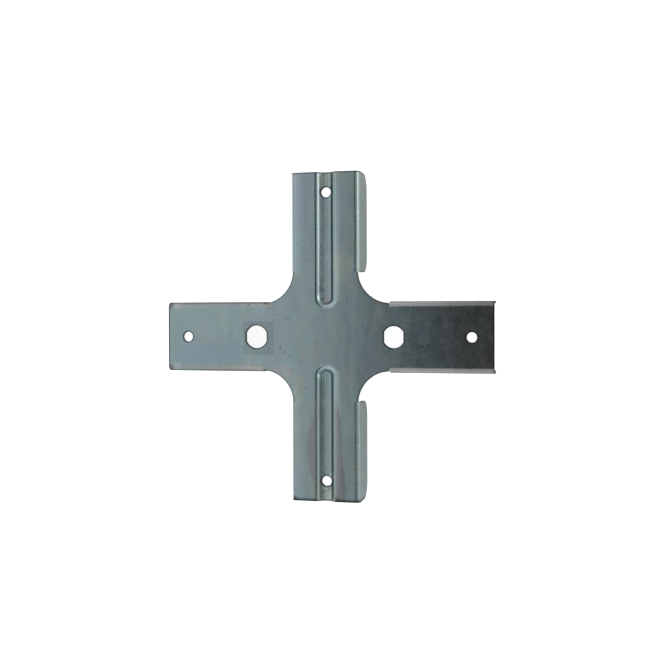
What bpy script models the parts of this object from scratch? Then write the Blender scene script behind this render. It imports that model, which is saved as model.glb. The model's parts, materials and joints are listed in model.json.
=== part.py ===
"""Cross bracket: one pressed and folded sheet of zinc-plated steel, lying on its flange edges.

X runs along the across arms and Y along the upright arms. Z is up, with zero at the flange edges.
The upper skin of the sheet is drawn first, then it gets its thickness, then the holes are punched.
"""
import math

import bmesh
import bpy
from mathutils import Matrix, Vector

# Overall sizes, in metres
ACROSS_REACH = 0.1015
UPRIGHT_REACH = 0.1000
ACROSS_WIDTH = 0.0430
UPRIGHT_WIDTH = 0.0424
HEIGHT = 0.0230
SHEET = 0.0015

# Folds: outside radius of the bend, where the flanges start, and the round of their free corners
BEND_RADIUS = 0.0038
FLANGE_START = 0.0394
FLANGE_CORNER = 0.0095

# Round notches between the arms
NOTCH_DEPTH = 0.0051
NOTCH_INSET = 0.0010
RELIEF_GAP = 0.00025

# Pressed beads along the upright arms, open at the arm's end
BEAD_TIP = 0.0173
BEAD_WIDTH = 0.0136
BEAD_TIP_FLAT = 0.0010
BEAD_DEPTH = 0.0030
BEAD_WALL_ANGLE = math.radians(57)
BEAD_LIP_RADIUS = 0.0034
BEAD_FLOOR_RADIUS = 0.0006

# Punched holes. Each double-D has its own size, on the right arm and on the left one.
SCREW_HOLE = 0.0061
ACROSS_HOLE_FROM_END = 0.0131
UPRIGHT_HOLE_FROM_END = 0.0121
DOUBLE_D_REACH = 0.0428
DOUBLE_D_SHIFT = -0.0008
RIGHT_ROUND, RIGHT_FLATS = 0.0132, 0.0118
LEFT_ROUND, LEFT_FLATS = 0.0140, 0.0130
PUNCH_CLEARANCE = 0.002

# Facets
BEND_STEPS = 6
CORNER_STEPS = 6
NOTCH_STEPS = 20
BEAD_CORNER_STEPS = 10
BEAD_ARC_STEPS = 4
HOLE_STEPS = 36


class Arm:
    """One arm: its direction, and its sizes along (out from the middle) and aside (to its left)."""

    def __init__(self, turns, reach, width, beaded):
        self.out = Vector(((1, 0), (0, 1), (-1, 0), (0, -1))[turns])
        self.left = Vector((-self.out.y, self.out.x))
        self.reach = reach
        self.half_width = width / 2
        self.fold_line = width / 2 - BEND_RADIUS
        self.beaded = beaded

    def point(self, along, aside, z):
        flat = self.out * along + self.left * aside
        return Vector((flat.x, flat.y, z))


def make_arms():
    """The four arms, anticlockwise from the one along +X."""
    across = (ACROSS_REACH, ACROSS_WIDTH, False)
    upright = (UPRIGHT_REACH, UPRIGHT_WIDTH, True)
    return [Arm(turns, *(upright if turns % 2 else across)) for turns in range(4)]


def clear_scene():
    for obj in list(bpy.data.objects):
        bpy.data.objects.remove(obj, do_unlink=True)


def make_material(name, color, roughness):
    material = bpy.data.materials.new(name)
    material.use_nodes = True
    shader = material.node_tree.nodes["Principled BSDF"]
    shader.inputs["Base Color"].default_value = (*color, 1)
    shader.inputs["Metallic"].default_value = 1.0
    shader.inputs["Roughness"].default_value = roughness
    return material


def arc(start, end, steps):
    """Angles from start to end, both included."""
    return [start + (end - start) * i / steps for i in range(steps + 1)]


def flange_stations(arm):
    """Places along a flange, each with the height of the flange's free edge there."""
    quarter = arc(0, math.pi / 2, CORNER_STEPS)
    inner = [(FLANGE_START + FLANGE_CORNER * (1 - math.cos(a)), FLANGE_CORNER * (1 - math.sin(a)))
             for a in quarter]
    outer = [(arm.reach - FLANGE_CORNER * (1 - math.cos(a)), FLANGE_CORNER * (1 - math.sin(a)))
             for a in reversed(quarter)]
    return inner + outer


def bead_section():
    """Half widths and drops of the bead's skin, from its rim down to its floor."""
    lip, fillet, slope = BEAD_LIP_RADIUS, BEAD_FLOOR_RADIUS, BEAD_WALL_ANGLE
    half = BEAD_WIDTH / 2
    wall = (BEAD_DEPTH - (lip + fillet) * (1 - math.cos(slope))) / math.sin(slope)
    floor = half - (lip + fillet) * math.sin(slope) - wall * math.cos(slope)
    lip_arc = [(half - lip * math.sin(a), lip * (1 - math.cos(a)))
               for a in arc(0, slope, BEAD_ARC_STEPS)]
    floor_arc = [(floor + fillet * math.sin(a), BEAD_DEPTH - fillet * (1 - math.cos(a)))
                 for a in arc(slope, 0, BEAD_ARC_STEPS)]
    return lip_arc + floor_arc


def bead_ring(bm, arm, half_width, drop):
    """One level line of the bead: in from the arm's end, round its closed tip and out again."""
    flat = BEAD_TIP_FLAT / 2
    middle = BEAD_TIP + BEAD_WIDTH / 2 - flat
    corner = half_width - flat
    near = [(middle + corner * math.cos(a), flat + corner * math.sin(a))
            for a in arc(math.pi / 2, math.pi, BEAD_CORNER_STEPS)]
    line = [(arm.reach, -half_width)]
    line += [(along, -aside) for along, aside in near]
    line += [(along, aside) for along, aside in reversed(near)]
    line += [(arm.reach, half_width)]
    return [bm.verts.new(arm.point(along, aside, HEIGHT - drop)) for along, aside in line]


def strip(bm, first, second):
    """Faces between two rows of points; the first row is walked backwards."""
    for i in range(len(first) - 1):
        bm.faces.new((first[i + 1], first[i], second[i], second[i + 1]))


def press_bead(bm, arm):
    """Sink the bead ring by ring, close its floor, and return its rim for the web's outline."""
    rings = [bead_ring(bm, arm, half_width, drop) for half_width, drop in bead_section()]
    for outer, inner in zip(rings, rings[1:]):
        strip(bm, outer, inner)
    bm.faces.new(reversed(rings[-1]))
    return rings[0]


def fold_flange(bm, arm, side):
    """Bend and flange on one side of an arm. Returns the row of points on the fold line."""
    stations = flange_stations(arm)
    rows = []
    for angle in arc(0, math.pi / 2, BEND_STEPS):
        aside = side * (arm.fold_line + BEND_RADIUS * math.sin(angle))
        z = HEIGHT - BEND_RADIUS * (1 - math.cos(angle))
        rows.append([bm.verts.new(arm.point(along, aside, z)) for along, edge in stations])
    aside = side * arm.half_width
    rows.append([bm.verts.new(arm.point(along, aside, edge)) for along, edge in stations])
    for upper, lower in zip(rows, rows[1:]):
        if side < 0:
            strip(bm, upper, lower)
        else:
            strip(bm, upper[::-1], lower[::-1])
    return rows[0]


def notch_points(arm, following):
    """The round notch between one arm and the next, bowed in towards the middle of the hub."""
    corner = FLANGE_START - RELIEF_GAP
    start = arm.point(corner, arm.half_width - NOTCH_INSET, HEIGHT)
    end = following.point(corner, -(following.half_width - NOTCH_INSET), HEIGHT)
    chord = end - start
    half_chord = chord.length / 2
    radius = (half_chord ** 2 + NOTCH_DEPTH ** 2) / (2 * NOTCH_DEPTH)
    inward = Vector((-chord.y, chord.x, 0)).normalized()
    centre = (start + end) / 2 - inward * (radius - NOTCH_DEPTH)
    spread = math.asin(half_chord / radius)
    spoke = inward * radius
    return [centre + Matrix.Rotation(a, 3, "Z") @ spoke for a in arc(spread, -spread, NOTCH_STEPS)]


def make_skin(arms):
    """Upper skin of the whole sheet: flat web, eight folded flanges and two beads."""
    bm = bmesh.new()
    web = []
    for arm, following in zip(arms, arms[1:] + arms[:1]):
        web += fold_flange(bm, arm, -1)
        if arm.beaded:
            web += press_bead(bm, arm)
        web += reversed(fold_flange(bm, arm, 1))
        web += [bm.verts.new(point) for point in notch_points(arm, following)]
    bm.faces.new(web)
    mesh = bpy.data.meshes.new("cross_bracket")
    bm.to_mesh(mesh)
    bm.free()
    return mesh


def round_punch(bm, centre):
    """A round punch through the web."""
    depth = HEIGHT + 2 * PUNCH_CLEARANCE
    place = Matrix.Translation((centre.x, centre.y, HEIGHT / 2))
    radius = SCREW_HOLE / 2
    bmesh.ops.create_cone(bm, cap_ends=True, segments=HOLE_STEPS, radius1=radius, radius2=radius,
                          depth=depth, matrix=place)


def double_d_punch(bm, centre, diameter, flats):
    """A round punch with two flats, which face along X."""
    radius = diameter / 2
    half_flats = min(flats / 2, 0.98 * radius)
    corner = math.asin(half_flats / radius)
    steps = HOLE_STEPS // 3
    turns = [math.pi / 2 + a for a in arc(-corner, corner, steps)]
    turns += [3 * math.pi / 2 + a for a in arc(-corner, corner, steps)]
    low = [bm.verts.new((centre.x + radius * math.cos(a), centre.y + radius * math.sin(a),
                         -PUNCH_CLEARANCE)) for a in turns]
    base = bm.faces.new(reversed(low))
    made = bmesh.ops.extrude_face_region(bm, geom=[base])
    top = [item for item in made["geom"] if isinstance(item, bmesh.types.BMVert)]
    bmesh.ops.translate(bm, verts=top, vec=(0, 0, HEIGHT + 2 * PUNCH_CLEARANCE))


def make_punches(arms):
    """All the punches as one cutting tool."""
    bm = bmesh.new()
    for arm in arms:
        from_end = UPRIGHT_HOLE_FROM_END if arm.beaded else ACROSS_HOLE_FROM_END
        round_punch(bm, arm.point(arm.reach - from_end, 0, 0))
        if not arm.beaded:
            size = (RIGHT_ROUND, RIGHT_FLATS) if arm.out.x > 0 else (LEFT_ROUND, LEFT_FLATS)
            shift = Vector((DOUBLE_D_SHIFT, 0, 0))
            double_d_punch(bm, arm.point(DOUBLE_D_REACH, 0, 0) + shift, *size)
    bmesh.ops.recalc_face_normals(bm, faces=bm.faces)
    mesh = bpy.data.meshes.new("punches")
    bm.to_mesh(mesh)
    bm.free()
    punches = bpy.data.objects.new("punches", mesh)
    punches.hide_render = True
    punches.display_type = "WIRE"
    return punches


def settle(obj):
    """Keep the result of the modifiers as the object's own mesh, smooth apart from its edges."""
    depsgraph = bpy.context.evaluated_depsgraph_get()
    mesh = bpy.data.meshes.new_from_object(obj.evaluated_get(depsgraph))
    obj.modifiers.clear()
    obj.data = mesh
    mesh.shade_smooth()
    mesh.set_sharp_from_angle(angle=math.radians(32))


def build_bracket():
    arms = make_arms()
    bracket = bpy.data.objects.new("cross_bracket", make_skin(arms))
    punches = make_punches(arms)
    for obj in (bracket, punches):
        bpy.context.scene.collection.objects.link(obj)

    thicken = bracket.modifiers.new("thickness", "SOLIDIFY")
    thicken.thickness = SHEET
    thicken.offset = -1
    thicken.use_even_offset = True
    thicken.use_quality_normals = True
    punch = bracket.modifiers.new("holes", "BOOLEAN")
    punch.operation = "DIFFERENCE"
    punch.solver = "EXACT"
    punch.object = punches

    settle(bracket)
    bpy.data.objects.remove(punches, do_unlink=True)
    bracket.data.materials.append(make_material("zinc_plated_steel", (0.40, 0.44, 0.46), 0.35))
    return bracket


clear_scene()
build_bracket()
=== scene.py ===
import json
import math

import bmesh
import bpy
from mathutils import Matrix, Vector

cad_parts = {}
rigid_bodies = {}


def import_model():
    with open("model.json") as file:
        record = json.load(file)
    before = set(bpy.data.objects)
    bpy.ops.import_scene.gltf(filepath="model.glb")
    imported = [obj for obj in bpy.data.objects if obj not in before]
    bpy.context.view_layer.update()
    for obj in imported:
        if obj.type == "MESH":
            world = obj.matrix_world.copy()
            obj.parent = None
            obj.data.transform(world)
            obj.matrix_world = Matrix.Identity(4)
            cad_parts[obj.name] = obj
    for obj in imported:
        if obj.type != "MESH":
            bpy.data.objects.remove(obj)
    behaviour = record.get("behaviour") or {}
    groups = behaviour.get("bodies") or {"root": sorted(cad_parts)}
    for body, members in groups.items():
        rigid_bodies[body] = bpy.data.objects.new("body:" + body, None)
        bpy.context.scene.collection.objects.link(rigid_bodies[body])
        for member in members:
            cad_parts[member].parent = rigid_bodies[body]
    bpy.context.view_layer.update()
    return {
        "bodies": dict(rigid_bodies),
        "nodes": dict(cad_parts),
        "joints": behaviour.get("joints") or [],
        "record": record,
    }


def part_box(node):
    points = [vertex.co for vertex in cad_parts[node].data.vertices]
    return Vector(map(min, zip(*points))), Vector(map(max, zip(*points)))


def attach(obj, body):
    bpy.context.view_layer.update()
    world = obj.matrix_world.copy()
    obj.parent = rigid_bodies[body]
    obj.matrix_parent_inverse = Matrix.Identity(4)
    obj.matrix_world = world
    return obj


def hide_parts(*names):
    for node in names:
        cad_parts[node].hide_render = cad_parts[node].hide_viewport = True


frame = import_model()


mm = 0.001
quarterTurn = math.pi / 2


class Wire:  # one output of a node, so that sums on it read as plain expressions
    def __init__(self, plan, socket):
        self.plan = plan
        self.socket = socket

    def maths(self, operation, *values):
        return self.plan.node("ShaderNodeMath", {"operation": operation}, dict(enumerate(values)))

    def __add__(self, other):
        return self.maths("ADD", self, other)

    def __radd__(self, other):
        return self.maths("ADD", other, self)

    def __sub__(self, other):
        return self.maths("SUBTRACT", self, other)

    def __rsub__(self, other):
        return self.maths("SUBTRACT", other, self)

    def __mul__(self, other):
        return self.maths("MULTIPLY", self, other)

    def __rmul__(self, other):
        return self.maths("MULTIPLY", other, self)

    def __truediv__(self, other):
        return self.maths("DIVIDE", self, other)

    def __gt__(self, other):
        return self.maths("GREATER_THAN", self, other)

    def __abs__(self):
        return self.maths("ABSOLUTE", self)

    def root(self):
        return self.maths("SQRT", self)

    def sign(self):
        return self.maths("SIGN", self)

    def sine(self):
        return self.maths("SINE", self)

    def cosine(self):
        return self.maths("COSINE", self)

    def tangent(self):
        return self.maths("TANGENT", self)

    def atLeast(self, other):
        return self.maths("MAXIMUM", self, other)

    def atMost(self, other):
        return self.maths("MINIMUM", self, other)

    def across(self, other):  # length of the two as the sides of a right angle
        return (self * self + other * other).root()

    def ease(self, low, high, start=0.0, end=1.0):  # start below low, end above high, smooth between
        return self.plan.node("ShaderNodeMapRange", {"interpolation_type": "SMOOTHSTEP"},
                              {"Value": self, "From Min": low, "From Max": high,
                               "To Min": start, "To Max": end})


class Plan:  # a node tree that is being filled
    def __init__(self, tree):
        self.tree = tree

    def node(self, kind, settings=None, inputs=None, out=0):
        made = self.tree.nodes.new(kind)
        for name, value in (settings or {}).items():
            setattr(made, name, value)
        for key, value in (inputs or {}).items():
            if isinstance(value, Wire):
                self.tree.links.new(value.socket, made.inputs[key])
            else:
                made.inputs[key].default_value = value
        return Wire(self, made.outputs[out]) if made.outputs else made

    def mixColors(self, factor, first, second, blend="MIX"):
        settings = {"data_type": "RGBA", "blend_type": blend}
        return self.node("ShaderNodeMix", settings, {0: factor, 6: first, 7: second}, out=2)


def spread(start, end, steps):
    return [start + (end - start) * i / steps for i in range(steps + 1)]


def newObject(name, mesh):
    made = bpy.data.objects.new(name, mesh)
    bpy.context.scene.collection.objects.link(made)
    return made


def meshFrom(bm, name):
    mesh = bpy.data.meshes.new(name)
    bm.to_mesh(mesh)
    bm.free()
    return mesh


def settledMesh(piece):  # the piece's mesh as its modifiers leave it
    depsgraph = bpy.context.evaluated_depsgraph_get()
    return bpy.data.meshes.new_from_object(piece.evaluated_get(depsgraph))


# The pressed sheet. Its overall sizes are the CAD part's own.
boxLow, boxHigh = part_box("cross_bracket")
sheetSizes = {
    "acrossReach": boxHigh.x,
    "uprightReach": boxHigh.y,
    "height": boxHigh.z - boxLow.z,
    "acrossWidth": 43.0 * mm,
    "uprightWidth": 42.4 * mm,
    "thickness": 1.5 * mm,
    "acrossBend": 4.0 * mm,
    "uprightBend": 3.0 * mm,
    "flangeStart": 39.4 * mm,
    "flangeCorner": 9.5 * mm,
    "notchDepth": 5.1 * mm,
    "notchInset": 1.0 * mm,
    "reliefGap": 0.25 * mm,
    "edgeRound": 0.16 * mm,
    "edgeSteps": 2,
    "sharpFrom": math.radians(40),
    "slack": 0.001 * mm,
    "flangeRows": (0.04, 0.5, 1.0),  # shares of the straight flange at which it has a row of points
    "bendSteps": 16,
    "cornerSteps": 12,
    "notchSteps": 48,
}
beadSizes = {
    "tip": 17.3 * mm,
    "width": 13.6 * mm,
    "tipFlat": 1.0 * mm,
    "shift": 0.25 * mm,  # towards +X, as photographed
    "depth": 3.0 * mm,
    "wallAngle": math.radians(50),
    "lipRadius": 3.4 * mm,
    "floorRadius": 0.6 * mm,
    "floorSag": 0.06 * mm,
    "middleGap": 0.4 * mm,
    "sectionSteps": 8,
    "floorSteps": 5,
    "tipSteps": 40,
}
holeSizes = {
    "screw": 6.1 * mm,
    "acrossFromEnd": 13.1 * mm,
    "uprightFromEnd": 12.1 * mm,
    "doubleDReach": 42.8 * mm,
    "doubleDShift": -0.8 * mm,
    "doubleDRound": (13.2 * mm, 14.0 * mm),  # right, left
    "doubleDFlats": (11.8 * mm, 13.0 * mm),
    "clearance": 2 * mm,
    "steps": 72,
}


class Arm:  # one arm of the flat blank: along runs out from the middle, aside to its left
    def __init__(self, turns, reach, width, bend, beaded):
        self.out = Vector(((1, 0), (0, 1), (-1, 0), (0, -1))[turns])
        self.left = Vector((-self.out.y, self.out.x))
        self.reach = reach
        self.halfWidth = width / 2
        self.bend = bend
        self.foldLine = width / 2 - bend
        self.beaded = beaded

    def point(self, along, aside, z=0.0):
        flat = self.out * along + self.left * aside
        return Vector((flat.x, flat.y, z))


across = (sheetSizes["acrossReach"], sheetSizes["acrossWidth"], sheetSizes["acrossBend"], False)
upright = (sheetSizes["uprightReach"], sheetSizes["uprightWidth"], sheetSizes["uprightBend"], True)
arms = [Arm(turns, *(upright if turns % 2 else across)) for turns in range(4)]


def flangeStations(arm):  # places along a flange, each with the height of its free edge
    corner = sheetSizes["flangeCorner"]
    angles = spread(0, quarterTurn, sheetSizes["cornerSteps"])
    start = sheetSizes["flangeStart"]
    inner = [(start + corner * (1 - math.cos(a)), corner * (1 - math.sin(a))) for a in angles]
    outer = [(arm.reach - corner * (1 - math.cos(a)), corner * (1 - math.sin(a)))
             for a in reversed(angles)]
    return inner + outer


def strip(bm, first, second):  # faces between two rows; the first row is walked backwards
    for i in range(len(first) - 1):
        bm.faces.new((first[i + 1], first[i], second[i], second[i + 1]))


def flangeBlank(bm, arm, side):  # unfolded bend and flange; returns the row on the fold line
    stations = flangeStations(arm)
    bendLength = arm.bend * quarterTurn
    straight = sheetSizes["height"] - arm.bend
    rows = []
    for length in spread(0, bendLength, sheetSizes["bendSteps"]):
        aside = side * (arm.foldLine + length)
        rows.append([bm.verts.new(arm.point(along, aside)) for along, edge in stations])
    for share in sheetSizes["flangeRows"]:
        rows.append([bm.verts.new(arm.point(along, side * (arm.foldLine + bendLength
                                                           + (straight - edge) * share)))
                     for along, edge in stations])
    for upper, lower in zip(rows, rows[1:]):
        if side < 0:
            strip(bm, upper, lower)
        else:
            strip(bm, upper[::-1], lower[::-1])
    return rows[0]


def beadDistances():  # how far in from the rim each level line of the bead lies
    steps = beadSizes["sectionSteps"]
    lip, fillet = beadSizes["lipRadius"], beadSizes["floorRadius"]
    slope = beadSizes["wallAngle"]
    drop = beadSizes["depth"] - (lip + fillet) * (1 - math.cos(slope))
    wallEnd = lip * math.sin(slope) + drop / math.tan(slope)
    floorStart = wallEnd + fillet * math.sin(slope)
    lipArc = [lip * math.sin(a) for a in spread(0, slope, steps)]
    floorArc = [floorStart - fillet * math.sin(a) for a in spread(slope, 0, steps)]
    last = beadSizes["width"] / 2 - beadSizes["tipFlat"] / 2 - beadSizes["middleGap"]
    return lipArc + floorArc + spread(floorStart, last, beadSizes["floorSteps"])[1:]


def beadBlank(bm, arm):  # level lines of one bead, drawn flat; returns the rim
    half = beadSizes["width"] / 2
    flat = beadSizes["tipFlat"] / 2
    middle = beadSizes["tip"] + half - flat
    shift = -arm.out.y * beadSizes["shift"]
    turns = spread(quarterTurn, 2 * quarterTurn, beadSizes["tipSteps"] // 2)
    rings = []
    for distance in beadDistances():
        corner = half - distance - flat
        near = [(middle + corner * math.cos(a), flat + corner * math.sin(a)) for a in turns]
        line = [(arm.reach, distance - half)]
        line += [(along, -aside) for along, aside in near]
        line += near[::-1]
        line += [(arm.reach, half - distance)]
        rings.append([bm.verts.new(arm.point(along, aside + shift)) for along, aside in line])
    for outer, inner in zip(rings, rings[1:]):
        strip(bm, outer, inner)
    bm.faces.new(reversed(rings[-1]))
    return rings[0]


def notchPoints(arm, following):  # the round notch between one arm and the next
    corner = sheetSizes["flangeStart"] - sheetSizes["reliefGap"]
    inset, depth = sheetSizes["notchInset"], sheetSizes["notchDepth"]
    start = arm.point(corner, arm.halfWidth - inset)
    end = following.point(corner, inset - following.halfWidth)
    chord = end - start
    radius = (chord.length_squared / 4 + depth ** 2) / (2 * depth)
    inward = Vector((-chord.y, chord.x, 0)).normalized()
    centre = (start + end) / 2 - inward * (radius - depth)
    half = math.asin(chord.length / 2 / radius)
    return [centre + Matrix.Rotation(a, 3, "Z") @ (inward * radius)
            for a in spread(half, -half, sheetSizes["notchSteps"])]


def flatBlank():  # the whole sheet before it is pressed: web, beads' level lines and flanges
    bm = bmesh.new()
    web = []
    for arm, following in zip(arms, arms[1:] + arms[:1]):
        web += flangeBlank(bm, arm, -1)
        if arm.beaded:
            web += beadBlank(bm, arm)
        web += reversed(flangeBlank(bm, arm, 1))
        web += [bm.verts.new(point) for point in notchPoints(arm, following)]
    bm.faces.new(web)
    return meshFrom(bm, "flatBlank")


def beadDrop(inset, size):  # depth of the bead at a distance in from its rim
    lip, fillet, slope = size["Lip Radius"], size["Floor Radius"], size["Wall Angle"]
    rise = 1 - slope.cosine()
    lipEnd = lip * slope.sine()
    wallRun = (size["Bead Depth"] - (lip + fillet) * rise) / slope.tangent()
    floorStart = lipEnd + wallRun + fillet * slope.sine()
    onLip = inset.atLeast(0).atMost(lipEnd)
    onWall = (inset - lipEnd).atLeast(0).atMost(wallRun)
    onFillet = (floorStart - inset).atLeast(0).atMost(fillet * slope.sine())
    lipDrop = lip - (lip * lip - onLip * onLip).root()
    filletLeft = fillet - (fillet * fillet - onFillet * onFillet).root()
    inward = (inset - floorStart).atLeast(0) / (size["Bead Half Width"] - floorStart)
    sag = size["Floor Sag"] * inward * (2 - inward)
    return lipDrop + onWall * slope.tangent() + fillet * rise - filletLeft + sag


def pressTree(material):  # folds the flanges down and sinks the beads of a flat blank
    tree = bpy.data.node_groups.new("pressAndFold", "GeometryNodeTree")
    half = beadSizes["width"] / 2
    flat = beadSizes["tipFlat"] / 2
    defaults = {
        "Height": sheetSizes["height"],
        "Fold Line Across": arms[0].foldLine,
        "Fold Line Upright": arms[1].foldLine,
        "Flange Start": sheetSizes["flangeStart"],
        "Bend Radius Across": arms[0].bend,
        "Bend Radius Upright": arms[1].bend,
        "Bead Middle": beadSizes["tip"] + half - flat,
        "Bead Half Width": half,
        "Bead Tip Half Flat": flat,
        "Bead Shift": beadSizes["shift"],
        "Bead Depth": beadSizes["depth"],
        "Lip Radius": beadSizes["lipRadius"],
        "Floor Radius": beadSizes["floorRadius"],
        "Floor Sag": beadSizes["floorSag"],
        "Wall Angle": beadSizes["wallAngle"],
    }
    tree.interface.new_socket("Geometry", in_out="INPUT", socket_type="NodeSocketGeometry")
    tree.interface.new_socket("Geometry", in_out="OUTPUT", socket_type="NodeSocketGeometry")
    for name in defaults:
        tree.interface.new_socket(name, in_out="INPUT", socket_type="NodeSocketFloat")
    plan = Plan(tree)
    entry = tree.nodes.new("NodeGroupInput")
    size = {name: Wire(plan, entry.outputs[name]) for name in defaults}

    place = plan.node("GeometryNodeInputPosition")
    x, y = [plan.node("ShaderNodeSeparateXYZ", {}, {0: place}, out=axis) for axis in (0, 1)]
    isAcross = abs(x) > abs(y)
    along = abs(x).atLeast(abs(y))
    aside = abs(x).atMost(abs(y))
    foldLine = (size["Fold Line Across"] * isAcross
                + size["Fold Line Upright"] * (1 - isAcross))
    bend = (size["Bend Radius Across"] * isAcross
            + size["Bend Radius Upright"] * (1 - isAcross))
    onFlange = along > (size["Flange Start"] - sheetSizes["slack"])
    past = (aside - foldLine).atLeast(0) * onFlange
    angle = (past / bend).atMost(quarterTurn)
    folded = aside - past + bend * angle.sine()
    foldDrop = bend * (1 - angle.cosine()) + (past - bend * quarterTurn).atLeast(0)

    back = (size["Bead Middle"] - along).atLeast(0)
    flat = size["Bead Tip Half Flat"]
    beside = (abs(x - size["Bead Shift"]) - flat).atLeast(0)
    fromLine = (back * back + beside * beside).root() + flat
    pressed = beadDrop(size["Bead Half Width"] - fromLine, size) * (1 - isAcross)
    z = size["Height"] - foldDrop - pressed

    newX = x.sign() * (along * isAcross + folded * (1 - isAcross))
    newY = y.sign() * (folded * isAcross + along * (1 - isAcross))
    moved = plan.node("ShaderNodeCombineXYZ", {}, {0: newX, 1: newY, 2: z})
    shaped = plan.node("GeometryNodeSetPosition", {},
                       {"Geometry": Wire(plan, entry.outputs["Geometry"]), "Position": moved})
    real = plan.node("GeometryNodeRealizeInstances", {}, {"Geometry": shaped})
    finished = plan.node("GeometryNodeSetMaterial", {}, {"Geometry": real, "Material": material})
    plan.node("NodeGroupOutput", {}, {"Geometry": finished})
    return tree, defaults


def pressSkin(material):
    blank = newObject("pressed_sheet", flatBlank())
    press = blank.modifiers.new("pressAndFold", "NODES")
    tree, values = pressTree(material)
    press.node_group = tree
    for item in tree.interface.items_tree:
        if item.in_out == "INPUT" and item.name in values:
            press[item.identifier] = values[item.name]
    mesh = settledMesh(blank)
    blank.modifiers.clear()
    blank.data = mesh
    print("skin pressed:", len(mesh.vertices), "points")
    return blank


def screwPunch(bm, centre):
    depth = sheetSizes["height"] + 2 * holeSizes["clearance"]
    radius = holeSizes["screw"] / 2
    place = Matrix.Translation((centre.x, centre.y, sheetSizes["height"] / 2))
    bmesh.ops.create_cone(bm, cap_ends=True, segments=holeSizes["steps"], radius1=radius,
                          radius2=radius, depth=depth, matrix=place)


def doubleDPunch(bm, centre, diameter, flats):  # round, with two flats that face along X
    radius = diameter / 2
    corner = math.asin(flats / diameter)
    swing = spread(-corner, corner, holeSizes["steps"] // 3)
    turns = [quarterTurn + a for a in swing] + [3 * quarterTurn + a for a in swing]
    base = bm.faces.new([bm.verts.new((centre.x + radius * math.cos(a),
                                       centre.y + radius * math.sin(a),
                                       -holeSizes["clearance"])) for a in reversed(turns)])
    made = bmesh.ops.extrude_face_region(bm, geom=[base])
    top = [item for item in made["geom"] if isinstance(item, bmesh.types.BMVert)]
    rise = sheetSizes["height"] + 2 * holeSizes["clearance"]
    bmesh.ops.translate(bm, verts=top, vec=(0, 0, rise))


def punches(cutMaterial):
    bm = bmesh.new()
    for arm in arms:
        fromEnd = holeSizes["uprightFromEnd" if arm.beaded else "acrossFromEnd"]
        screwPunch(bm, arm.point(arm.reach - fromEnd, 0))
        if not arm.beaded:
            side = 0 if arm.out.x > 0 else 1
            shift = Vector((holeSizes["doubleDShift"], 0, 0))
            doubleDPunch(bm, arm.point(holeSizes["doubleDReach"], 0) + shift,
                         holeSizes["doubleDRound"][side], holeSizes["doubleDFlats"][side])
    bmesh.ops.recalc_face_normals(bm, faces=bm.faces)
    mesh = meshFrom(bm, "punches")
    mesh.materials.append(cutMaterial)
    return newObject("punches", mesh)


def markCutEdges(mesh, cutMaterial):  # 1 on sheared faces, 0 on the coated skin
    mark = mesh.attributes.new("cutEdge", "FLOAT", "FACE")
    names = [material.name for material in mesh.materials]
    cut = [1.0 if names[face.material_index] == cutMaterial.name else 0.0
           for face in mesh.polygons]
    mark.data.foreach_set("value", cut)


def pressedSheet(zinc):
    cutMaterial = bpy.data.materials.new("cutFaces")
    sheet = pressSkin(zinc)
    sheet.data.materials.append(cutMaterial)
    thick = sheet.modifiers.new("thickness", "SOLIDIFY")
    thick.thickness = sheetSizes["thickness"]
    thick.offset = -1
    thick.use_even_offset = True
    thick.use_quality_normals = True
    thick.material_offset_rim = 1
    tool = punches(cutMaterial)
    punch = sheet.modifiers.new("holes", "BOOLEAN")
    punch.operation = "DIFFERENCE"
    punch.solver = "EXACT"
    punch.material_mode = "TRANSFER"
    punch.object = tool
    edge = sheet.modifiers.new("roundedEdges", "BEVEL")
    edge.width = sheetSizes["edgeRound"]
    edge.segments = sheetSizes["edgeSteps"]
    edge.limit_method = "ANGLE"
    edge.angle_limit = sheetSizes["sharpFrom"]
    edge.use_clamp_overlap = True
    edge.harden_normals = False
    mesh = settledMesh(sheet)
    sheet.modifiers.clear()
    markCutEdges(mesh, cutMaterial)
    sheet.data = mesh
    mesh.materials.clear()
    mesh.materials.append(zinc)
    for face in mesh.polygons:
        face.material_index = 0
    mesh.shade_smooth()
    bpy.data.objects.remove(tool, do_unlink=True)
    bpy.data.materials.remove(cutMaterial)
    smooth = sheet.modifiers.new("faceNormals", "WEIGHTED_NORMAL")
    smooth.mode = "FACE_AREA"
    smooth.weight = 50
    smooth.keep_sharp = False
    print("sheet finished:", len(mesh.polygons), "faces")
    return sheet


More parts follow.
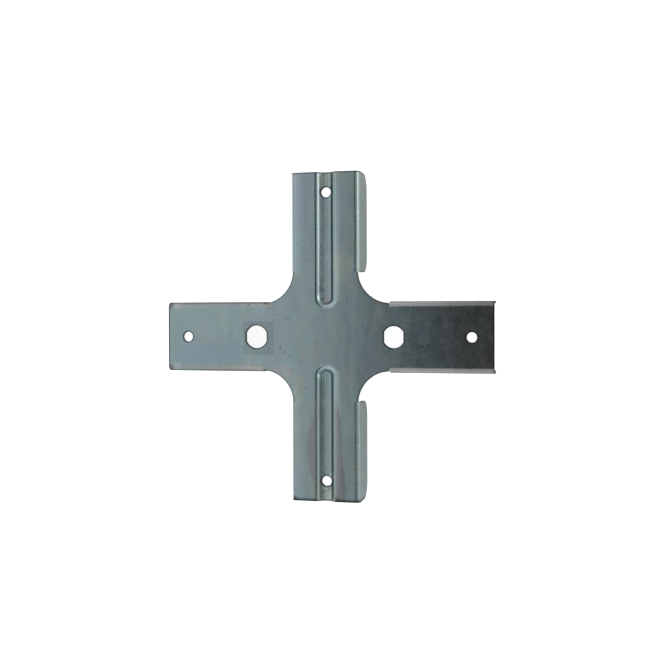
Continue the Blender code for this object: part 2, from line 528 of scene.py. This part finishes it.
# Zinc plating, with painted light and shade drawn into its colour. Places on the sheet are in
# millimetres from the middle of the hub.
zincLook = {
    "cool": (0.290, 0.358, 0.388, 1),
    "teal": (0.272, 0.370, 0.374, 1),
    "violet": (0.284, 0.350, 0.404, 1),
    "olive": (0.320, 0.376, 0.338, 1),
    "warm": (0.318, 0.336, 0.312, 1),
    "rose": (0.338, 0.340, 0.338, 1),
    "azure": (0.262, 0.358, 0.402, 1),
    "sage": (0.296, 0.368, 0.348, 1),
    "flange": (0.292, 0.374, 0.366, 1),
    "straw": (0.340, 0.368, 0.292, 1),
    "stain": (0.270, 0.264, 0.274, 1),
    "cutSteel": (0.16, 0.175, 0.175, 1),
    "roughness": 0.27,
    "edgeTint": (0.55, 0.55, 0.55, 1),  # keeps the plating from brightening at a low angle
    "cloudSize": 11.0,
    "cloudStretch": 1.9,
    "streakWidth": 1.3,
    "streakLength": 30.0,
    "streaks": 0.12,
    "mottle": 0.26,
    "grain": 0.03,
    "pits": 0.38,
    # painted shade: the plating darkens along the sheared edges, hole rims and notches
    "rimDark": 0.80,
    "rimWidth": 1.2,
    "notchRimDark": 0.50,
    # painted light at the beads: a pale halo outside them and lighter floors
    "paintedHalo": 0.36,
    "floorLift": 0.07,
    "waviness": 0.10,
    "frameMiddle": (-42.4, -0.7),  # the square pressed lightly round the left double-D, shown only as painted shade
    "frameHalf": (9.2, 9.7),
    "frameLine": -35.7,
    "frameDark": 0.13,
    "stainReach": 10.4,
    "stainStart": -32.0,
    "stainDark": 0.17,
    "flangeTop": 20.2,
    # stripLift lightens the uprights' right strips; farEndDark is a painted dark reflection towards the
    # right arm's end
    "stripLift": 0.06,
    "farEndDark": 0.07,
}
patches = [  # x, y, reach in x and in y, tint and how strong
    (0.0, -68.0, 30.0, 42.0, "sage", 0.6), (-50.0, -18.5, 14.0, 5.0, "warm", 0.5),
    (10.6, 42.5, 6.2, 14.0, "olive", 0.75), (15.0, 66.0, 3.5, 16.0, "olive", 0.4),
    (-17.0, -33.0, 5.0, 15.0, "olive", 0.8), (-62.0, -20.0, 15.0, 2.6, "olive", 0.9),
    (-15.0, 78.0, 6.0, 22.0, "violet", 0.9), (10.0, 84.0, 4.0, 14.0, "violet", 0.45),
    (-2.4, 62.0, 1.6, 34.0, "violet", 0.8), (58.0, 4.0, 6.0, 7.0, "violet", 0.8),
    (72.0, -3.0, 8.0, 8.0, "violet", 0.7), (-92.0, -4.0, 13.0, 18.0, "teal", 0.9),
    (-60.0, 2.0, 9.0, 12.0, "teal", 0.5), (0.5, -62.0, 3.0, 30.0, "teal", 0.7),
    (-82.0, -11.5, 23.0, 8.0, "azure", 0.9), (-58.0, -9.0, 9.0, 8.0, "azure", 0.7),
    (-16.5, -88.0, 5.0, 12.0, "violet", 0.4), (-45.0, -20.2, 10.0, 3.0, "straw", 1.0),
    (-0.6, 95.0, 5.0, 9.0, "straw", 0.35), (1.5, -97.0, 7.0, 7.0, "straw", 0.6),
    (-37.6, 20.0, 5.0, 3.0, "rose", 0.9), (6.2, 47.0, 3.2, 9.0, "straw", 0.35),
    # the rose patch at 0.5, 21.0 gives a painted glint its colour at the tip of the upper bead
    (0.5, 21.0, 4.0, 3.0, "rose", 0.9), (32.3, 21.4, 5.0, 3.4, "warm", 0.8),
    (-27.0, -22.0, 12.0, 6.0, "rose", 0.6), (-6.2, -8.3, 6.0, 10.0, "warm", 0.5),
]
specks = [  # small marks in the coating: x, y, radius and change in brightness
    (-28.3, -6.6, 1.1, -0.40), (-25.7, -9.5, 1.1, -0.34), (-22.5, -11.9, 1.0, -0.30),
    (23.4, 6.1, 1.0, -0.34), (-4.6, 11.6, 1.1, -0.25), (-24.2, 11.6, 2.4, -0.16),
    (-49.0, 19.6, 1.1, -0.40), (-6.0, -4.0, 1.4, -0.14), (-60.5, 2.0, 1.8, -0.14),
    (-17.5, 56.0, 1.0, -0.22), (-19.5, 52.5, 1.0, -0.18), (-11.5, 47.0, 1.2, -0.20),
    (76.2, 10.2, 1.2, -0.42), (78.8, 10.4, 1.0, -0.46), (81.0, 9.4, 1.3, -0.40),
    (69.0, 11.2, 1.2, -0.34), (59.0, -5.4, 1.3, -0.38), (62.6, -5.0, 1.2, -0.40),
    (61.3, -7.2, 1.0, -0.38), (70.4, -4.4, 1.3, -0.36), (59.2, 8.6, 1.2, -0.32),
    # the marks at x 20.2 to 20.4 are nicks on the upright folds; the bright ones among them are painted
    # glints
    (96.2, 9.4, 1.0, -0.36), (66.0, -0.6, 1.6, -0.16), (20.3, 73.0, 0.6, -0.40),
    (20.4, 75.1, 0.6, 0.45), (20.4, 70.6, 0.6, 0.30), (20.2, -40.2, 0.8, 0.40),
    (20.2, -65.5, 0.8, 0.40),
]
tipGlints = [  # broken light at the closed ends of the beads
    (-4.4, 23.8, 1.3, 0.75), (-2.4, 21.3, 1.0, 0.55), (-2.5, 23.0, 0.9, -0.55),
    (-1.9, 19.9, 0.8, -0.35), (0.9, 20.6, 1.2, 0.25), (-3.4, 25.2, 2.6, 0.46),
    (-2.3, 32.0, 3.0, 0.20), (-4.3, -23.4, 1.3, 0.40), (-2.4, -24.7, 1.0, -0.30),
    (-3.2, -24.0, 2.9, 0.42),
]
beadHighlights = [  # painted highlights: paler floor round the screw holes and along the beads
    (0.0, 97.0, 6.0, 0.08), (3.1, 92.4, 2.4, 0.15), (2.7, 85.2, 2.4, 0.46), (1.9, 48.0, 3.4, 0.14),
    (-1.9, -40.7, 3.4, 0.13), (3.2, -84.5, 2.6, 0.44), (-1.4, -91.8, 2.6, 0.60),
    (0.5, -97.0, 5.2, 0.34),
]
corners = [  # painted shade and highlights at the ends of the folds and the arms' corners
    (-100.8, 19.6, 3.0, -0.50), (-100.8, -19.6, 3.0, -0.50), (-95.6, 19.6, 3.8, 0.22),
    (-95.6, -18.8, 3.8, 0.22), (-20.4, -99.3, 3.2, -0.45), (-18.8, -98.6, 2.4, -0.26),
    (20.6, -99.6, 2.2, -0.14), (7.2, -99.4, 2.6, -0.24), (6.6, -97.8, 2.4, -0.20),
    (-21.0, 99.6, 1.8, -0.30), (-19.8, -33.5, 4.2, 0.15), (-18.6, -38.0, 6.0, 0.10),
    (19.2, 40.1, 3.0, -0.10), (-37.0, 20.0, 2.8, 0.08), (-45.0, -20.4, 10.0, 0.10),
    (-41.6, 17.6, 6.0, 0.09),
]
paleAndDarkAreas = [  # broad areas made paler, and two made darker
    (11.0, 43.0, 12.0, 0.10), (50.0, 0.0, 15.0, 0.08), (69.0, 3.0, 12.0, 0.06),
    (54.6, 12.8, 6.0, 0.20), (73.8, -16.4, 6.0, 0.17), (40.0, -13.2, 5.0, 0.10),
    (55.2, -9.5, 5.0, 0.12), (-24.0, -23.0, 13.0, 0.10), (-17.0, -52.0, 10.0, 0.05),
    (-72.0, -15.0, 24.0, -0.06), (-94.0, 0.0, 14.0, -0.03),
]
foldLines = [  # painted highlight and shade lines along the upright arms' folds: x, core, fade, change on the lower and on the upper arm
    (-19.6, 0.2, 0.9, -0.24, -0.24), (18.9, 0.3, 1.0, 0.34, 0.18), (19.6, 0.1, 0.7, -0.34, -0.12),
    (19.5, 0.1, 0.6, -0.10, 0.0), (20.4, 0.1, 0.6, 0.13, 0.0), (19.75, 0.1, 0.6, 0.0, -0.14),
    (20.85, 0.1, 0.6, 0.0, 0.18),
]


class Place:  # a place on the sheet in millimetres, and on which part of the sheet it lies
    def __init__(self, plan):
        self.plan = plan
        coordinates = plan.node("ShaderNodeTexCoord", {}, {}, out="Object")
        self.vector = plan.node("ShaderNodeVectorMath", {"operation": "SCALE"},
                                {0: coordinates, "Scale": 1 / mm})
        self.x, self.y, self.z = [plan.node("ShaderNodeSeparateXYZ", {}, {0: self.vector}, out=axis)
                                  for axis in range(3)]
        self.ax, self.ay = abs(self.x), abs(self.y)
        self.along, self.aside = self.ax.atLeast(self.ay), self.ax.atMost(self.ay)
        self.onFlange = (zincLook["flangeTop"] - self.z).ease(0, 1.6)
        self.onWeb = 1 - self.onFlange
        self.upper = self.y.ease(-1, 1)
        self.right = self.x.ease(-1, 1)
        self.onUpright = (self.ay - 33).ease(0, 8) * self.onWeb

    def stretched(self, x, y, z, shift=(0, 0, 0)):
        return self.plan.node("ShaderNodeVectorMath", {"operation": "MULTIPLY_ADD"},
                              {0: self.vector, 1: (x, y, z), 2: shift})

    def noise(self, x, y, z, detail=2.0, roughness=0.5, distortion=0.0, shift=(0, 0, 0)):
        return self.plan.node("ShaderNodeTexNoise", {},
                              {"Vector": self.stretched(x, y, z, shift), "Scale": 1.0, "Detail": detail,
                               "Roughness": roughness, "Distortion": distortion})

    def cells(self, x, y, z):  # distance from the nearest of scattered points
        return self.plan.node("ShaderNodeTexVoronoi", {},
                              {"Vector": self.stretched(x, y, z), "Scale": 1.0, "Randomness": 1.0})

    def fromMark(self, x, y, wide, tall):  # 0 in the middle of an oval mark, 1 on its rim
        moved = self.stretched(1 / wide, 1 / tall, 0, (-x / wide, -y / tall, 0))
        return self.plan.node("ShaderNodeVectorMath", {"operation": "LENGTH"}, {0: moved}, out="Value")


def line(distance, core, fade):  # 1 within the core of a line, 0 past its fade
    return abs(distance).ease(core, fade, 1, 0)


def cloudsOf(at, shift):
    size = zincLook["cloudSize"]
    long = size * zincLook["cloudStretch"]
    return at.noise(1 / size, 1 / long, 1 / size, 3.0, 0.55, 0.3, (shift, shift, shift))


def stainMask(at):  # water mark beside the bead of the lower arm
    ragged = at.noise(0.09, 0.05, 0.09) * 7 - 3.5
    swell = ((at.y + 69) * 0.13).cosine() * 2.2
    outer = zincLook["stainReach"] + ragged * (1 - at.right * 0.5) + swell
    outer = outer - at.right * (swell * 1.4 - 1.2 + (at.y + 70).ease(0, 30) * 4.5)
    inside = (outer - at.ax).ease(-0.3, 0.8)
    rim = line(outer - at.ax, 0.2, 1.1)
    started = (zincLook["stainStart"] - at.y).ease(0, 16)
    return inside * (0.70 + rim * 0.30) * started * (at.ax - 5.6).ease(0, 1)


def tintOf(at, stain):
    look, mix = zincLook, at.plan.mixColors
    first, second, third = [cloudsOf(at, shift) for shift in (0.0, 7.3, 15.9)]
    tint = mix(first.ease(0.34, 0.66), look["cool"], look["teal"])
    tint = mix(second.ease(0.46, 0.74) * 0.8, tint, look["violet"])
    tint = mix(third.ease(0.48, 0.74) * 0.7, tint, look["olive"])
    ragged = (first - 0.5) * 1.2
    for x, y, wide, tall, name, amount in patches:
        reach = at.fromMark(x, y, wide, tall) + ragged
        tint = mix(reach.ease(0.45, 1.0, amount, 0), tint, look[name])
    rightEnd = (at.x + (second - 0.5) * 50).ease(56, 102)
    tint = mix(rightEnd * 0.85, tint, look["warm"])

    # redder folds, then the flanges' own tints
    foldStart = 18.4 - (at.ax - 38).ease(0, 1) * 1.6
    foldZone = (at.aside - foldStart).ease(0, 2.2) * (at.along - 39).ease(0, 1)
    reddened = (at.ax - at.ay).ease(-5, 5) * 0.4 + (at.x - 39).ease(0, 1) * 0.4 + 0.1
    tint = mix(foldZone * reddened, tint, look["rose"])

    rosy = second.ease(0.42, 0.60) * at.z.ease(1, 6) * (19.5 - at.z).ease(0, 3) * 0.5
    low = mix(rosy, look["flange"], look["rose"])
    low = mix(third.ease(0.48, 0.64) * 0.5, low, look["olive"])
    rightFold = (at.x - 18.2).ease(0, 1) * (at.ay - 38).ease(0, 1) * 0.8
    tint = mix((at.onFlange * 0.85).atLeast(rightFold), tint, low)
    return mix(stain * 0.9, tint, look["stain"])


def notchDistance(at):  # how far a place on the hub is from the nearest notch
    points = [point / mm for point in notchPoints(arms[0], arms[1])]
    middle = points[len(points) // 2]
    chord = points[0] - points[-1]
    chordMiddle = (points[0] + points[-1]) / 2
    depth = (middle - chordMiddle).length
    radius = (chord.length_squared / 4 + depth ** 2) / (2 * depth)
    centre = middle + (chordMiddle - middle).normalized() * radius
    beyond = (at.along - sheetSizes["flangeStart"] / mm).ease(0, 0.6)
    return abs((at.ax - centre.x).across(at.ay - centre.y) - radius) + beyond * 10


def holeDistance(at):  # how far a place is outside the nearest hole
    acrossHole = (sheetSizes["acrossReach"] - holeSizes["acrossFromEnd"]) / mm
    uprightHole = (sheetSizes["uprightReach"] - holeSizes["uprightFromEnd"]) / mm
    nearest = (at.ax - acrossHole).across(at.ay).atMost((at.ay - uprightHole).across(at.ax))
    nearest = nearest - holeSizes["screw"] / 2 / mm
    for side, sign in ((0, 1), (1, -1)):
        fromMiddle = at.x - (sign * holeSizes["doubleDReach"] + holeSizes["doubleDShift"]) / mm
        curved = fromMiddle.across(at.y) - holeSizes["doubleDRound"][side] / 2 / mm
        flats = abs(fromMiddle) - holeSizes["doubleDFlats"][side] / 2 / mm
        nearest = nearest.atMost(curved.atLeast(flats))
    return nearest


def rimShade(at):  # 0 to 1: how near a sheared edge is; the plating darkens there, partly as painted shade of the edges and hole walls, partly as the darker cut edge itself
    isAcross = at.ax > at.ay
    reach = isAcross * ((sheetSizes["acrossReach"] - sheetSizes["uprightReach"]) / mm)
    reach = reach + sheetSizes["uprightReach"] / mm
    fade = (0.15 * zincLook["rimWidth"], zincLook["rimWidth"], 1, 0)
    top = (reach - at.along).atMost(holeDistance(at)).ease(*fade)
    notch = notchDistance(at).ease(*fade)
    top = top * zincLook["rimDark"] + notch * zincLook["notchRimDark"] * (1 - top)

    corner = sheetSizes["flangeCorner"] / mm  # the flange is a plate with two round lower corners
    start = sheetSizes["flangeStart"] / mm
    fromCentre = abs(at.along - (reach + start) / 2) - ((reach - start) / 2 - corner)
    below = corner - at.z
    rounded = fromCentre.atLeast(0).across(below.atLeast(0))
    flange = corner - rounded - fromCentre.atLeast(below).atMost(0)
    low = flange.ease(*fade) * zincLook["notchRimDark"]
    belowBend = (19.5 - at.z).ease(0, 1)
    return top * (1 - belowBend) + low * belowBend


def pitShade(at):  # round pits and short dashes left in the coating
    chosen = at.noise(0.13, 0.13, 0.13, 0.0).ease(0.50, 0.56)
    pits = at.cells(0.16, 0.16, 0.16).ease(0.04, 0.14, 1, 0)
    dashes = at.cells(0.11, 0.32, 0.2).ease(0.05, 0.16, 1, 0)
    dashes = dashes * (0.14 + at.x.ease(20, 70) * 0.20)
    return (1 - pits * chosen * zincLook["pits"]) * (1 - dashes * chosen)


def markShade(at):  # every mark from the lists, on the web alone: coating specks, painted glints, highlights and shade, and paler and darker areas
    shade = 1
    for x, y, radius, change in specks + tipGlints + beadHighlights + corners + paleAndDarkAreas:
        shade = at.fromMark(x, y, radius, radius).ease(0.3, 1, 1 + change, 1) * shade
    return 1 + (shade - 1) * at.onWeb


# painted shade of the pressed square, which the geometry lacks: darker inside it, along its rim and
# along a line inside it
def frameShade(at):
    (middleX, middleY), (halfX, halfY) = zincLook["frameMiddle"], zincLook["frameHalf"]
    frame = (abs(at.x - middleX) - halfX).atLeast(abs(at.y - middleY) - halfY)
    inside = frame.ease(-0.4, 0.4, 1, 0)
    dark = zincLook["frameDark"]
    innerLine = 1 - line(at.x - zincLook["frameLine"], 0.2, 0.7) * inside * 0.10
    return innerLine * (1 - inside * dark) * (1 - line(frame, 0.2, 0.7) * dark)


def beadShade(at):  # painted highlights and shade along the beads' level lines, with a painted pale halo outside
    # out: distance out from the rim, below 0 on the bead itself
    half = (beadSizes["width"] - beadSizes["tipFlat"]) / 2 / mm
    back = (beadSizes["tip"] / mm + half - at.ay).atLeast(0)
    fromFlat = abs(at.x - beadSizes["shift"] / mm) - beadSizes["tipFlat"] / 2 / mm
    out = back.across(fromFlat.atLeast(0)) - half
    atTip = back.ease(1, 5)
    onLeft = at.x.ease(-3, 0, 1, 0)

    outside = out + atTip * (1.3 + at.upper * 0.5)
    beside = at.x.ease(-1, 3).atLeast(back.ease(3, 6) * 0.7) * (at.ay - 12).ease(0, 3) * at.onWeb
    fading = 1.3 - (at.ay - 38).ease(0, 50) * 0.5 - (-20 - at.y).ease(0, 10) * 0.2
    paintedHalo = outside.ease(0.2, 3.0, 1, 0) * outside.ease(-1, 0) * beside * zincLook["paintedHalo"]
    shade = 1 + paintedHalo * fading
    levels = [  # distance out from the rim, core, fade, where, and change
        (0.3, 0.1, 0.6, at.x.ease(-3, 2) * back.ease(0, 4), 0.22),
        (-0.9, 0.2, 1.0, onLeft * at.onUpright, 0.40 - at.upper * 0.30),
        (-2.4, 0.2, 1.0, at.x.ease(0, 3) * (at.ay - 15).ease(0, 3), 0.28),
        (-3.3, 0.4, 1.3, atTip, 0.24),
        (-4.1, 0.3, 1.2, atTip, 0.14 + at.upper * 0.14),
        (-2.3, 0.2, 0.9, atTip, at.upper * -0.18),
    ]
    for level, core, fade, where, change in levels:
        shade = shade * (1 + line(out - level, core, fade) * where * change)
    return shade * (1 + (-4.2 - out).ease(0, 0.8) * zincLook["floorLift"])


def foldShade(at):
    # painted highlight beside the left folds of the upright arms, and the painted lines along their
    # folds
    pale = at.upper * 0.14 + 0.08
    shade = 1 + (at.x + 19.0).ease(0.5, 6.5, 1, 0) * at.onUpright * pale
    for x, core, fade, lower, upper in foldLines:
        change = lower if lower == upper else at.upper * (upper - lower) + lower
        shade = shade * (1 + line(at.x - x, core, fade) * at.onUpright * change)

    # painted shade along the foot of each fold, and fine creases on the bends of the across arms
    onLeftArm = (-38 - at.x).ease(0, 1)
    foot = line(at.z - 20.4 - onLeftArm * 0.5, 0.3, 1.5) * (at.aside - 19.5).ease(0, 0.8)
    shade = shade * (1 - foot * (0.14 + onLeftArm * 0.34 + (-17 - at.x).ease(0, 1) * 0.08))
    creases = at.noise(1 / 26, 1 / 0.7, 1 / 0.7, 2.0, 0.6)
    onBend = (at.ay - 17.2).ease(0, 1.2) * (at.ax - 39).ease(0, 1) * (at.z - 14).ease(0, 4)
    shade = shade * (1 + (creases - 0.5) * onBend * (at.ay - 24).ease(0, 1, 0.7, 0))
    # painted dark reflection: the right arm's bends darken towards its end
    farEnd = (at.x - 42).ease(0, 62) * (at.ay - 17.5).ease(0, 1.2)
    return shade * (1 - farEnd * (0.12 + at.y.ease(0, 1) * 0.34))


def areaShade(at):  # tone of whole areas: lighter strips on the uprights' right, a painted dark reflection towards the right arm's end and painted shade at the lower arm's end
    strip = at.x.ease(6.0, 9.0) * at.x.ease(16.5, 18.0, 1, 0) * (at.ay - 24).ease(0, 10)
    shade = (1 + strip * zincLook["stripLift"]) * (1 - at.x.ease(62, 84) * zincLook["farEndDark"])
    return shade * (1 - (-97.6 - at.y).ease(0, 1.4) * (at.ax - 5.6).ease(0, 1) * 0.56)


def zincPlating():
    look = zincLook
    material = bpy.data.materials.new("zincPlating")
    material.use_nodes = True
    plan = Plan(material.node_tree)
    shader = material.node_tree.nodes["Principled BSDF"]
    at = Place(plan)
    stain = stainMask(at)

    along = 1 / look["streakLength"]
    streaks = at.noise(1 / look["streakWidth"], along, along, 3.0, 0.6)
    mottle = at.noise(0.20, 0.11, 0.2, 3.0, 0.6, 0.4)
    grain = at.noise(1.7, 1.7, 1.7, 2.0, 0.6)
    value = 1 + (streaks - 0.5) * look["streaks"]
    value = value + (mottle - 0.5) * look["mottle"] + (grain - 0.5) * look["grain"]
    # the bead, fold, area, frame and rim shades and many of the marks are painted light and shade; the
    # pits, streaks, mottle, grain and stain are the coating's own
    for shade in (pitShade, markShade, frameShade, beadShade, foldShade, areaShade):
        value = value * shade(at)
    value = value * (1 - rimShade(at)) * (1 - stain * at.right * look["stainDark"])

    cut = plan.node("ShaderNodeAttribute", {"attribute_name": "cutEdge"}, {}, out="Fac")
    color = plan.mixColors(1.0, tintOf(at, stain), value, blend="MULTIPLY")
    color = plan.mixColors(cut, color, look["cutSteel"])
    plan.tree.links.new(color.socket, shader.inputs["Base Color"])
    rough = look["roughness"] + (mottle - 0.5) * 0.10 + (grain - 0.5) * 0.06 + cut * 0.2
    plan.tree.links.new(rough.socket, shader.inputs["Roughness"])
    shader.inputs["Metallic"].default_value = 1.0
    shader.inputs["Specular Tint"].default_value = look["edgeTint"]

    waves = at.noise(0.09, 0.035, 0.09, 1.0)
    height = waves * look["waviness"] + streaks * 0.002
    bump = plan.node("ShaderNodeBump", {}, {"Height": height, "Strength": 1.0, "Distance": mm})
    plan.tree.links.new(bump.socket, shader.inputs["Normal"])
    return material


# Studio: pale floor, soft light, and the camera where the photograph was taken
studio = {
    "floorSize": 6.0,
    "floorGap": 0.2 * mm,
    "floorColor": (0.7, 0.7, 0.7, 1),
    "glowSeen": 0.82,
    "glowInGloss": 0.5,
    "worldColor": (0.86, 0.87, 0.88, 1),
    "cardLow": (-0.150, -0.48),  # dark card over the bracket, seen only in its gloss
    "cardHigh": (0.62, 0.48),
    "cardHeight": 0.82,
    "cardDark": (0.0, 0.0, 0.0, 1),
    "cardGrey": (0.42, 0.42, 0.42, 1),
    "cardFade": (0.08, 0.42),
    "sideCard": (1.6, 1.8, 0.36),  # its X, half its length and its top edge
    "sideGrey": (0.30, 0.30, 0.30, 1),
    "lampPlace": (1.25, 0.42, 0.46),
    "lampSize": (0.7, 0.60),
    "lampPower": 3.1,
    "lampColor": (1.0, 0.95, 0.89),
}
cameraView = {
    "offset": Vector((149.5, 15.5, 599.9)) * mm,
    "turnY": 14.0,
    "turnX": 0.762,
    "turnZ": 0.184,
    "focalPixels": 1021.0,
    "framePixels": 650,
}


def addFloor():
    bm = bmesh.new()
    bmesh.ops.create_grid(bm, x_segments=1, y_segments=1, size=studio["floorSize"] / 2)
    bmesh.ops.translate(bm, verts=bm.verts, vec=(0, 0, boxLow.z - studio["floorGap"]))
    floor = newObject("paper_floor", meshFrom(bm, "paperFloor"))
    material = bpy.data.materials.new("paper")
    material.use_nodes = True
    tree = material.node_tree
    tree.nodes.clear()
    plan = Plan(tree)
    camera, glossy, through = [plan.node("ShaderNodeLightPath", {}, {}, out=name) for name in
                               ("Is Camera Ray", "Is Glossy Ray", "Is Transmission Ray")]
    seen = camera * studio["glowSeen"] + glossy.atLeast(through) * studio["glowInGloss"]
    paper = plan.node("ShaderNodeBsdfDiffuse", {}, {"Color": studio["floorColor"]})
    glow = plan.node("ShaderNodeEmission", {}, {"Strength": seen})
    both = plan.node("ShaderNodeAddShader", {}, {0: paper, 1: glow})
    plan.node("ShaderNodeOutputMaterial", {}, {"Surface": both})
    floor.data.materials.append(material)


def addCard(name, corners, fade, near, far):  # its tone runs from near to far along X
    bm = bmesh.new()
    bm.faces.new([bm.verts.new(corner) for corner in corners])
    card = newObject(name, meshFrom(bm, name))
    material = bpy.data.materials.new(name)
    material.use_nodes = True
    tree = material.node_tree
    tree.nodes.clear()
    plan = Plan(tree)
    place = plan.node("ShaderNodeTexCoord", {}, {}, out="Object")
    x = plan.node("ShaderNodeSeparateXYZ", {}, {0: place})
    shade = plan.mixColors(x.ease(*fade), near, far)
    felt = plan.node("ShaderNodeEmission", {}, {"Color": shade, "Strength": 1.0})
    plan.node("ShaderNodeOutputMaterial", {}, {"Surface": felt})
    card.data.materials.append(material)
    card.visible_camera = card.visible_diffuse = card.visible_shadow = False


def addCards():
    (lowX, lowY), (highX, highY) = studio["cardLow"], studio["cardHigh"]
    z = studio["cardHeight"]
    over = [(lowX, lowY, z), (lowX, highY, z), (highX, highY, z), (highX, lowY, z)]
    addCard("card_over", over, studio["cardFade"], studio["cardDark"], studio["cardGrey"])
    x, half, top = studio["sideCard"]
    beside = [(x, -half, 0), (x, half, 0), (x, half, top), (x, -half, top)]
    addCard("card_beside", beside, (0, 1), studio["sideGrey"], studio["sideGrey"])


def addLamp():
    lamp = bpy.data.lights.new("sideLamp", "AREA")
    lamp.shape = "RECTANGLE"
    lamp.size, lamp.size_y = studio["lampSize"]
    lamp.energy = studio["lampPower"]
    lamp.color = studio["lampColor"]
    holder = newObject("sideLamp", lamp)
    place = Vector(studio["lampPlace"])
    aim = (-place).to_track_quat("-Z", "Y")
    holder.matrix_world = Matrix.Translation(place) @ aim.to_matrix().to_4x4()


def addWorld():
    world = bpy.data.worlds.new("studioAir")
    world.use_nodes = True
    plan = Plan(world.node_tree)
    seen = plan.node("ShaderNodeLightPath", {}, {}, out="Is Camera Ray")
    shade = plan.mixColors(seen, studio["worldColor"], (1, 1, 1, 1))
    plan.tree.links.new(shade.socket, world.node_tree.nodes["Background"].inputs["Color"])
    bpy.context.scene.world = world


def addCamera():
    camera = bpy.data.cameras.new("photoCamera")
    camera.sensor_width = 36.0
    camera.lens = camera.sensor_width * cameraView["focalPixels"] / cameraView["framePixels"]
    camera.clip_start = 0.01
    turn = (Matrix.Rotation(math.radians(cameraView["turnZ"]), 3, "Z")
            @ Matrix.Rotation(math.radians(cameraView["turnX"]), 3, "X")
            @ Matrix.Rotation(-math.radians(cameraView["turnY"]), 3, "Y"))
    holder = newObject("photoCamera", camera)
    hubTop = Vector((0, 0, boxHigh.z))
    holder.matrix_world = Matrix.Translation(hubTop + cameraView["offset"]) @ turn.transposed().to_4x4()
    bpy.context.scene.camera = holder


zinc = zincPlating()
sheet = pressedSheet(zinc)
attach(sheet, "root")
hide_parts("cross_bracket")
addFloor()
addCards()
addLamp()
addWorld()
addCamera()

bpy.context.scene.view_settings.view_transform = "Standard"
